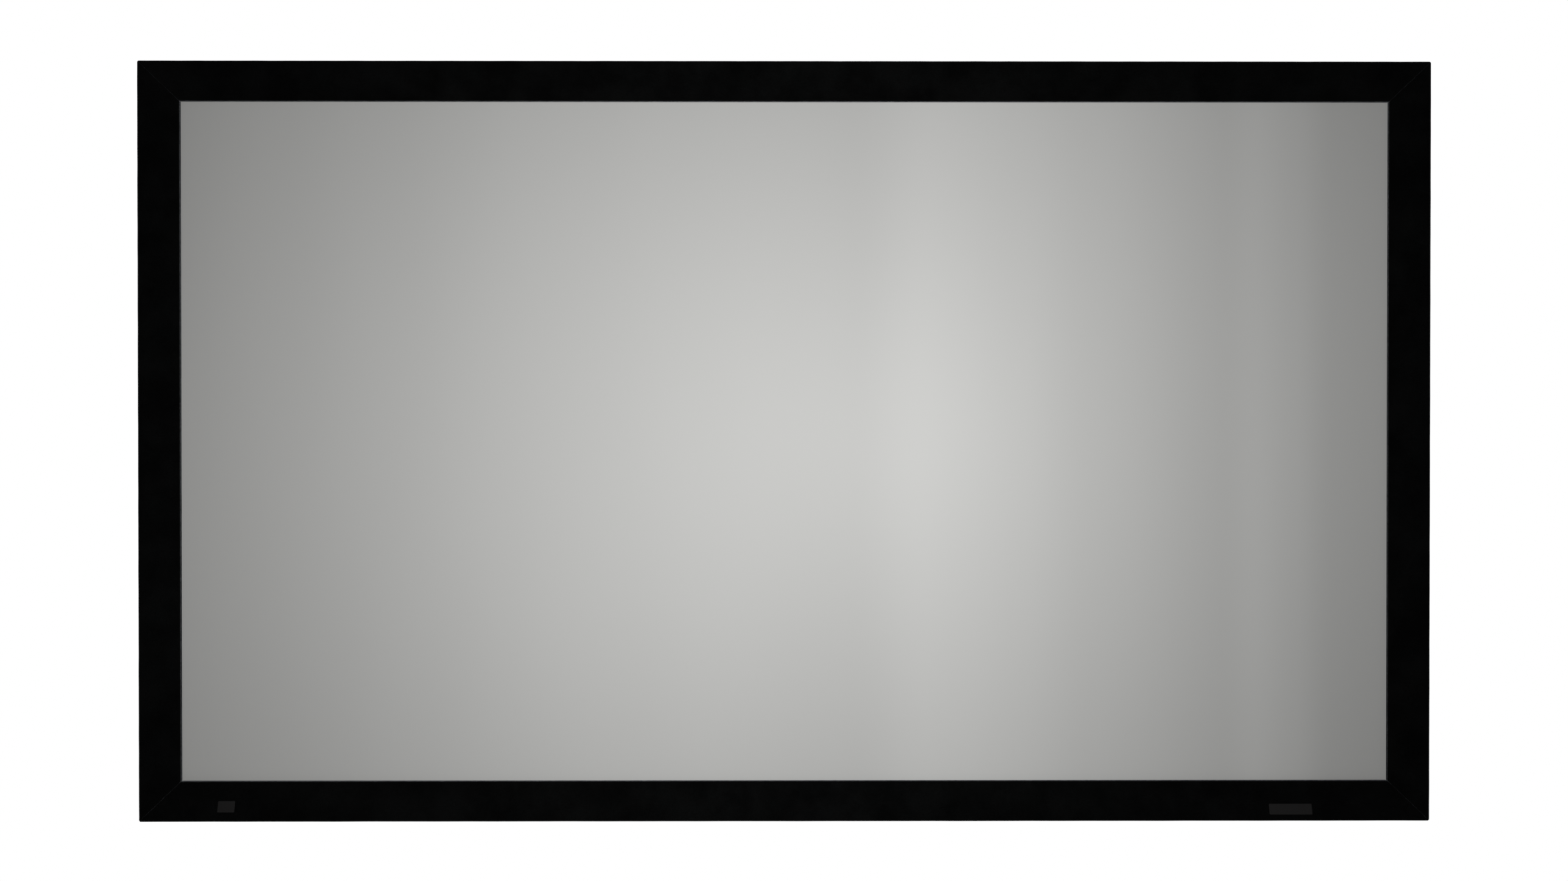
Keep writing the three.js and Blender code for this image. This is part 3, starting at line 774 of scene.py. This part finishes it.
def make_band(side):
    half = SIDES[side][1]
    section = np.array(band_section())
    s, k = np.meshgrid(stations(half, BAND_STEP), np.arange(len(section)), indexing="ij")
    u, d = section[k, 0], section[k, 1]
    x = s * (half + u - MITRE_GAP * math.sqrt(2) / 2)
    from_snap = np.min([np.abs(x - at) for at in snap_places(half)], axis=0)
    free = fade(from_snap, HELD_BY_SNAP, SNAP_FADE) * fade(u, HELD_BY_WELD, WELD_FADE)
    uneven = SLACK_EVEN + SLACK_UNEVEN * ripple(x, u, BAND_SEEDS[side], SLACK_WAVES)
    d = d - SLACK * free * uneven
    place = np.stack(on_side(side, x, u, d), -1).reshape(-1, 3)
    rows, cols = s.shape
    faces = []
    for first in range(0, (rows - 1) * cols, cols):
        faces += ring_faces(first, cols)
    faces.append(tuple(range(cols)))
    faces.append(tuple(range(rows * cols - 1, (rows - 1) * cols - 1, -1)))
    band = new_piece(f"screen_band_{side}", place, faces, vinyl)
    band.data.materials.append(weld)
    for polygon in band.data.polygons:
        middle = np.mean([section[v % cols] for v in polygon.vertices], axis=0)
        on_back = middle[1] < (BAND_BACK + BAND_FRONT) / 2
        if len(polygon.vertices) == 4 and on_back and WELD_IN < middle[0] < WELD_OUT:
            polygon.material_index = 1
    by_angle(band, FORMED_DEGREES)
    finished(band, "edge_band", f"edge_band_{side}")
    return band


for side_name in SIDES:
    make_band(side_name)
    make_snaps(side_name, "snap_caps", CAP)
    make_snaps(side_name, "snap_sockets", SOCKET)


# Corner brackets, flat plates with broken edges

BROKEN = 0.35
HOLE_POINTS = 24


def screw_places(channel):
    middle = CHANNELS[channel] + CHANNEL_W / 2
    along = [middle - SCREW_FIRST, middle - SCREW_FIRST - SCREW_SPACING]
    return [(a, middle) for a in along] + [(middle, a) for a in along]


def bracket_mesh(channel):
    """An L plate with screw holes, flat about its middle, from a filled curve with a small bevel."""
    near, far = CHANNELS[channel] + SEAT, CHANNELS[channel] + CHANNEL_W - SEAT
    tip, cut = far - BRACKET_LEG, far - BRACKET_CHAMFER
    outline = [(tip, near), (near, near), (near, tip), (far, tip), (far, cut), (cut, far), (tip, far)]
    last = 2 * math.pi * (1 - 1 / HOLE_POINTS)
    holes = [arc(at, SCREW_R + SEAT, 0, last, HOLE_POINTS - 1) for at in screw_places(channel)]
    curve = bpy.data.curves.new("outline", "CURVE")
    curve.dimensions = "2D"
    curve.fill_mode = "BOTH"
    curve.extrude = (BRACKET / 2 - BROKEN) * MM
    curve.bevel_depth = BROKEN * MM
    curve.bevel_resolution = 1
    curve.offset = -BROKEN * MM
    for loop in [outline, *holes]:
        spline = curve.splines.new("POLY")
        spline.points.add(len(loop) - 1)
        for point, (x, y) in zip(spline.points, loop):
            point.co = (x * MM, y * MM, 0, 1)
        spline.use_cyclic_u = True
    drawn = in_scene("outline", curve)
    bpy.context.view_layer.update()
    made = bpy.data.meshes.new_from_object(drawn.evaluated_get(bpy.context.evaluated_depsgraph_get()))
    bpy.data.objects.remove(drawn)
    return made


def make_bracket(channel, corner):
    bm = bmesh.new()
    bm.from_mesh(bracket_mesh(channel))
    bmesh.ops.remove_doubles(bm, verts=bm.verts, dist=SAME_PLACE)
    for vert in bm.verts:
        x, u, up = (c / MM for c in vert.co)
        vert.co = at_corner(corner, x, u, BRACKET_MIDDLE + up)
    bmesh.ops.recalc_face_normals(bm, faces=bm.faces)
    if bm.calc_volume(signed=True) < 0:
        bmesh.ops.reverse_faces(bm, faces=bm.faces)
    mesh = bpy.data.meshes.new("bracket")
    bm.to_mesh(mesh)
    bm.free()
    mesh.materials.clear()
    mesh.materials.append(zinc)
    obj = in_scene(f"bracket_{channel}_{corner}", mesh)
    by_angle(obj, FLAT_DEGREES)
    finished(obj, "bracket_steel", f"corner_bracket_{channel}_{corner}")


# Set screws, as rings of a radius. The point's rings have their distance behind the screw's front end, and
# the others in front of its back end. The thread's crest and root lie at shares of its pitch.

SCREW_SEGMENTS = 24
SCREW_POINT = [(1.6, 0.0), (2.2, 0.0), (2.8, 0.5)]
THREAD_TURNS, THREAD_ROOT = 5, 2.62
CREST_SHARE, ROOT_SHARE = 0.3, 0.75
SCREW_END = [(2.9, 0.4), (2.6, 0.0)]
KEY_HOLE = [(1.65, 0.0), (1.5, 0.2), (1.5, 2.4)]
KEY_DEPTH = 3.0


def screw_rings():
    """Rings from the point to the bottom of the key hole, as (radius, d, whether hexagonal)."""
    thread_start = SCREW_FRONT - SCREW_POINT[-1][1]
    pitch = (thread_start - SCREW_BACK - SCREW_END[0][1]) / THREAD_TURNS
    rings = [(radius, SCREW_FRONT - behind, False) for radius, behind in SCREW_POINT]
    for turn in range(THREAD_TURNS):
        top = thread_start - turn * pitch
        rings.append((SCREW_R, top - CREST_SHARE * pitch, False))
        rings.append((THREAD_ROOT, top - ROOT_SHARE * pitch, False))
    rings += [(radius, SCREW_BACK + before, False) for radius, before in SCREW_END]
    rings += [(radius, SCREW_BACK + before, True) for radius, before in KEY_HOLE]
    return rings


def set_screw(at, corner):
    """A threaded stud with a hexagonal key hole, open to the back."""
    points, faces = [], []
    for radius, d, hexagonal in screw_rings():
        for k in range(SCREW_SEGMENTS):
            a = 2 * math.pi * k / SCREW_SEGMENTS
            r = radius / math.cos(a % (math.pi / 3) - math.pi / 6) if hexagonal else radius
            points.append(at_corner(corner, at[0] + r * math.cos(a), at[1] + r * math.sin(a), d))
    floor_ring = len(points) - SCREW_SEGMENTS
    for first in range(0, floor_ring, SCREW_SEGMENTS):
        faces += ring_faces(first, SCREW_SEGMENTS)
    faces.append(tuple(range(SCREW_SEGMENTS))[::-1])
    points.append(at_corner(corner, at[0], at[1], SCREW_BACK + KEY_DEPTH))
    for k in range(SCREW_SEGMENTS):
        n = (k + 1) % SCREW_SEGMENTS
        faces.append((floor_ring + k, floor_ring + n, len(points) - 1))
    return points, faces


def make_screws(channel, corner):
    parts = [set_screw(at, corner) for at in screw_places(channel)]
    screws = new_piece(f"screws_{channel}_{corner}", *joined(parts), black_oxide)
    by_angle(screws, FORMED_DEGREES)
    stood_for = [f"set_screw_{channel}_{corner}_{i + 1}" for i in range(len(parts))]
    finished(screws, "screw_steel", *stood_for)


for corner_name in CORNERS:
    for channel_name in CHANNELS:
        make_bracket(channel_name, corner_name)
        make_screws(channel_name, corner_name)


# Blank plates with softly rolled edges, flat on the bottom rail's bevelled face

PLATE_ROLL, ROLL_STEPS = 0.35, 4
PLATE_ARC_STEPS = 6


def make_plate(name, side, inset, rise, width, height):
    across = -side * (IMAGE_W / 2 + FACE - inset)
    u = FACE - rise
    levels = [(PLATE_CORNER, 0.0), (PLATE_CORNER, PLATE - PLATE_ROLL)]
    for a in np.linspace(0, math.pi / 2, ROLL_STEPS + 1)[1:]:
        radius = PLATE_CORNER - PLATE_ROLL * (1 - math.cos(a))
        levels.append((radius, PLATE - PLATE_ROLL * (1 - math.sin(a))))
    slope_u, slope_d = math.cos(BEVEL), math.sin(BEVEL)
    base_d = above_rail(u, SKIN + SEAT)
    points = []
    for radius, up in levels:
        for k, (sx, sy) in enumerate([(1, 1), (-1, 1), (-1, -1), (1, -1)]):
            centre = (sx * (width / 2 - PLATE_CORNER), sy * (height / 2 - PLATE_CORNER))
            for x, y in arc(centre, radius, k * math.pi / 2, (k + 1) * math.pi / 2, PLATE_ARC_STEPS):
                d = base_d + y * slope_d + up * slope_u
                points.append(on_side("bottom", across + x, u + y * slope_u - up * slope_d, d))
    count = len(points) // len(levels)
    faces = [tuple(range(count))[::-1], tuple(range(len(points) - count, len(points)))]
    for first in range(0, len(points) - count, count):
        faces += ring_faces(first, count)
    obj = new_piece(name, points, faces, satin)
    by_angle(obj, FORMED_DEGREES)
    finished(obj, "badge", f"badge_{name}")


make_plate("plate_left", **LEFT_PLATE)
make_plate("plate_right", **RIGHT_PLATE)


# Rails and hangers keep their own shapes, with broken edges and a mill finish along their length

RAIL_EDGE = 0.2
RAIL_EDGE_DEGREES = 35
EXTRUDED = {
    "rail_top": "x",
    "rail_bottom": "x",
    "rail_left": "z",
    "rail_right": "z",
    "wall_hanger_top": "x",
    "wall_hanger_lower_left": "x",
    "wall_hanger_lower_right": "x",
}

for node_name, axis in EXTRUDED.items():
    node = NODES[node_name]
    node.data.materials.clear()
    node.data.materials.append(aluminium[axis])
    one_skin = node.modifiers.new("one_skin", "WELD")
    one_skin.merge_threshold = SAME_PLACE
    broken = node.modifiers.new("broken_edges", "BEVEL")
    broken.width = RAIL_EDGE * MM
    broken.segments = 2
    broken.limit_method = "ANGLE"
    broken.angle_limit = math.radians(RAIL_EDGE_DEGREES)


# Studio, in metres: floor, world and lamps

FLOOR_DROP, FLOOR_X, FLOOR_Y = 0.75, 3.2, 1.75
FLOOR_CELLS = 8
FLOOR_FADE = (0.55, 0.98)
FLOOR_VEIL, FLOOR_BOUNCE = 0.55, 0.35
LIGHT_BEFORE, LIGHT_BEHIND = 0.02, 0.75
LIGHT_TURNS = (-0.1, 0.5)

# A lamp before the screen: right of and above the image's centre, and before it, the share of white that it
# gives at its brightest, its size, and its lean
KEY = {"x": -0.03, "up": 0.045, "away": 1.69, "level": 0.97, "size": (1.0, 0.2), "lean": math.radians(57)}
FILL = {"x": 0.19, "up": 0.01, "away": 0.41, "level": 0.09, "size": (0.2, 0.2), "lean": 0.0}

# The lamp behind the screen, from the image's centre
BACK_PLACE = (1.5, 2.6, 1.3)
BACK_SIZE, BACK_LEVEL = (1.4, 1.4), 0.25


def seen_plainly(tree):
    """1 for what the camera sees, directly or in gloss and glass."""
    path = tree.nodes.new("ShaderNodeLightPath")
    first = math_node(tree, "MAXIMUM")
    link(tree, path, "Is Camera Ray", first, 0)
    link(tree, path, "Is Glossy Ray", first, 1)
    both = math_node(tree, "MAXIMUM")
    link(tree, first, "Value", both, 0)
    link(tree, path, "Is Transmission Ray", both, 1)
    return both


def mixed(tree, factor, output, first, second):
    """A shader that goes from the first to the second one."""
    node = tree.nodes.new("ShaderNodeMixShader")
    link(tree, factor, output, node, "Fac")
    link(tree, first, 0, node, 1)
    link(tree, second, 0, node, 2)
    return node


def floor_material():
    """Pale, with a white veil for the camera, and clear towards the floor's rim."""
    material, tree, shader = node_material("pale_floor")
    shader.inputs["Roughness"].default_value = 0.9
    shader.inputs["Specular IOR Level"].default_value = 0.1
    mottled = noise(tree, texture_space(tree), scale=2.0, detail=3.0, roughness=0.5)
    color = tones(tree, mottled, (0.80, 0.80, 0.795), (0.83, 0.83, 0.825))
    plain = seen_plainly(tree)
    dimmed = mapped(tree, plain, "Value", to=(FLOOR_BOUNCE, 1.0))
    seen = darker_where_low(tree, color, dimmed, "Result", dark=0.0, light=1.0)
    link(tree, seen, MIX_RESULT, shader, "Base Color")
    veil = math_node(tree, "MULTIPLY")
    veil.inputs[1].default_value = FLOOR_VEIL
    link(tree, plain, "Value", veil, 0)
    paled = mixed(tree, veil, "Value", shader, tree.nodes.new("ShaderNodeEmission"))
    away = tree.nodes.new("ShaderNodeVectorMath")
    away.operation = "LENGTH"
    link(tree, texture_space(tree, (1 / FLOOR_X, 1 / FLOOR_Y, 0)), "Vector", away, 0)
    rim = mapped(tree, away, "Value", to=(0.0, 1.0), span=FLOOR_FADE)
    rim.interpolation_type = "SMOOTHSTEP"
    edged = mixed(tree, rim, "Result", paled, tree.nodes.new("ShaderNodeBsdfTransparent"))
    link(tree, edged, "Shader", tree.nodes["Material Output"], "Surface")
    return material


def make_floor():
    """A pale floor below the hung screen. It keeps the screen's shadow and fades out into the white round
    it. It throws back only some of its light, because its full glow from below would make the frame shade
    the screen's lower edge."""
    mesh = bpy.data.meshes.new("floor")
    bm = bmesh.new()
    bmesh.ops.create_grid(bm, x_segments=FLOOR_CELLS, y_segments=FLOOR_CELLS, size=1)
    bmesh.ops.scale(bm, vec=(FLOOR_X, FLOOR_Y, 1), verts=bm.verts)
    bm.to_mesh(mesh)
    bm.free()
    mesh.materials.append(floor_material())
    obj = in_scene("floor", mesh)
    obj.location = (0, 0, cad_low.z - FLOOR_DROP)


def make_world():
    """White to the camera and in metal. As a light it is bright behind the screen and dim before it, as a
    white backdrop is."""
    world = bpy.data.worlds.new("studio")
    bpy.context.scene.world = world
    world.use_nodes = True
    tree = world.node_tree
    background = tree.nodes["Background"]
    background.inputs["Color"].default_value = (1, 1, 1, 1)
    coords = tree.nodes.new("ShaderNodeTexCoord")
    split = tree.nodes.new("ShaderNodeSeparateXYZ")
    link(tree, coords, "Generated", split, "Vector")
    side = mapped(tree, split, "Y", to=(LIGHT_BEFORE, LIGHT_BEHIND), span=LIGHT_TURNS)
    side.interpolation_type = "SMOOTHSTEP"
    strength = math_node(tree, "MAXIMUM")
    link(tree, seen_plainly(tree), "Value", strength, 0)
    link(tree, side, "Result", strength, 1)
    link(tree, strength, "Value", background, "Strength")


def area_lamp(name, location, target, size, level):
    """A soft lamp. Its level is the share of white that it gives at its brightest, where it is aimed."""
    aim = Vector(target) - Vector(location)
    data = bpy.data.lights.new(name, "AREA")
    data.shape = "RECTANGLE"
    data.size, data.size_y = size
    data.energy = math.pi**2 * aim.length_squared * level
    obj = in_scene(name, data)
    obj.location = location
    obj.rotation_mode = "QUATERNION"
    obj.rotation_quaternion = aim.to_track_quat("-Z", "Y")
    obj.visible_camera = False
    return obj


def make_lights():
    """Two soft lamps before the screen, which make its bright spot, and a large one behind for its back."""
    centre_z = CENTRE_Z * MM
    front = -IMAGE_D * MM
    for name, lamp in (("key", KEY), ("fill", FILL)):
        z = centre_z + lamp["up"]
        place = (lamp["x"], front - lamp["away"], z)
        made = area_lamp(name, place, (lamp["x"], front, z), lamp["size"], lamp["level"])
        made.rotation_quaternion = made.rotation_quaternion @ Quaternion((0, 0, 1), lamp["lean"])
    target = Vector((0, 0, centre_z))
    behind = area_lamp("back", target + Vector(BACK_PLACE), target, BACK_SIZE, BACK_LEVEL)
    behind.visible_glossy = False


make_floor()
make_world()
make_lights()


# The photograph's camera. Its place is in metres from the image's centre on the wall, its focal length in
# the photograph's pixels, and its turns in radians.

PHOTO_WIDTH = 2576
FOCAL_PIXELS = 2070.5
SENSOR_WIDTH = 36
CAMERA_PLACE = (-0.0101, -2.5605, 0.01537)
CAMERA_TILT, CAMERA_ROLL = 0.00511, 0.00314


def make_camera():
    data = bpy.data.cameras.new("camera")
    data.sensor_width = SENSOR_WIDTH
    data.lens = SENSOR_WIDTH * FOCAL_PIXELS / PHOTO_WIDTH
    data.clip_start, data.clip_end = 0.05, 100
    obj = in_scene("camera", data)
    level = Matrix.Rotation(math.pi / 2, 3, "X")
    turn = Matrix.Rotation(CAMERA_TILT, 3, "X") @ Matrix.Rotation(CAMERA_ROLL, 3, "Z")
    place = (turn.transposed() @ level).to_4x4()
    place.translation = Vector(CAMERA_PLACE) + Vector((0, 0, CENTRE_Z * MM))
    obj.matrix_world = place
    bpy.context.scene.camera = obj


make_camera()
bpy.context.scene.view_settings.view_transform = "Standard"
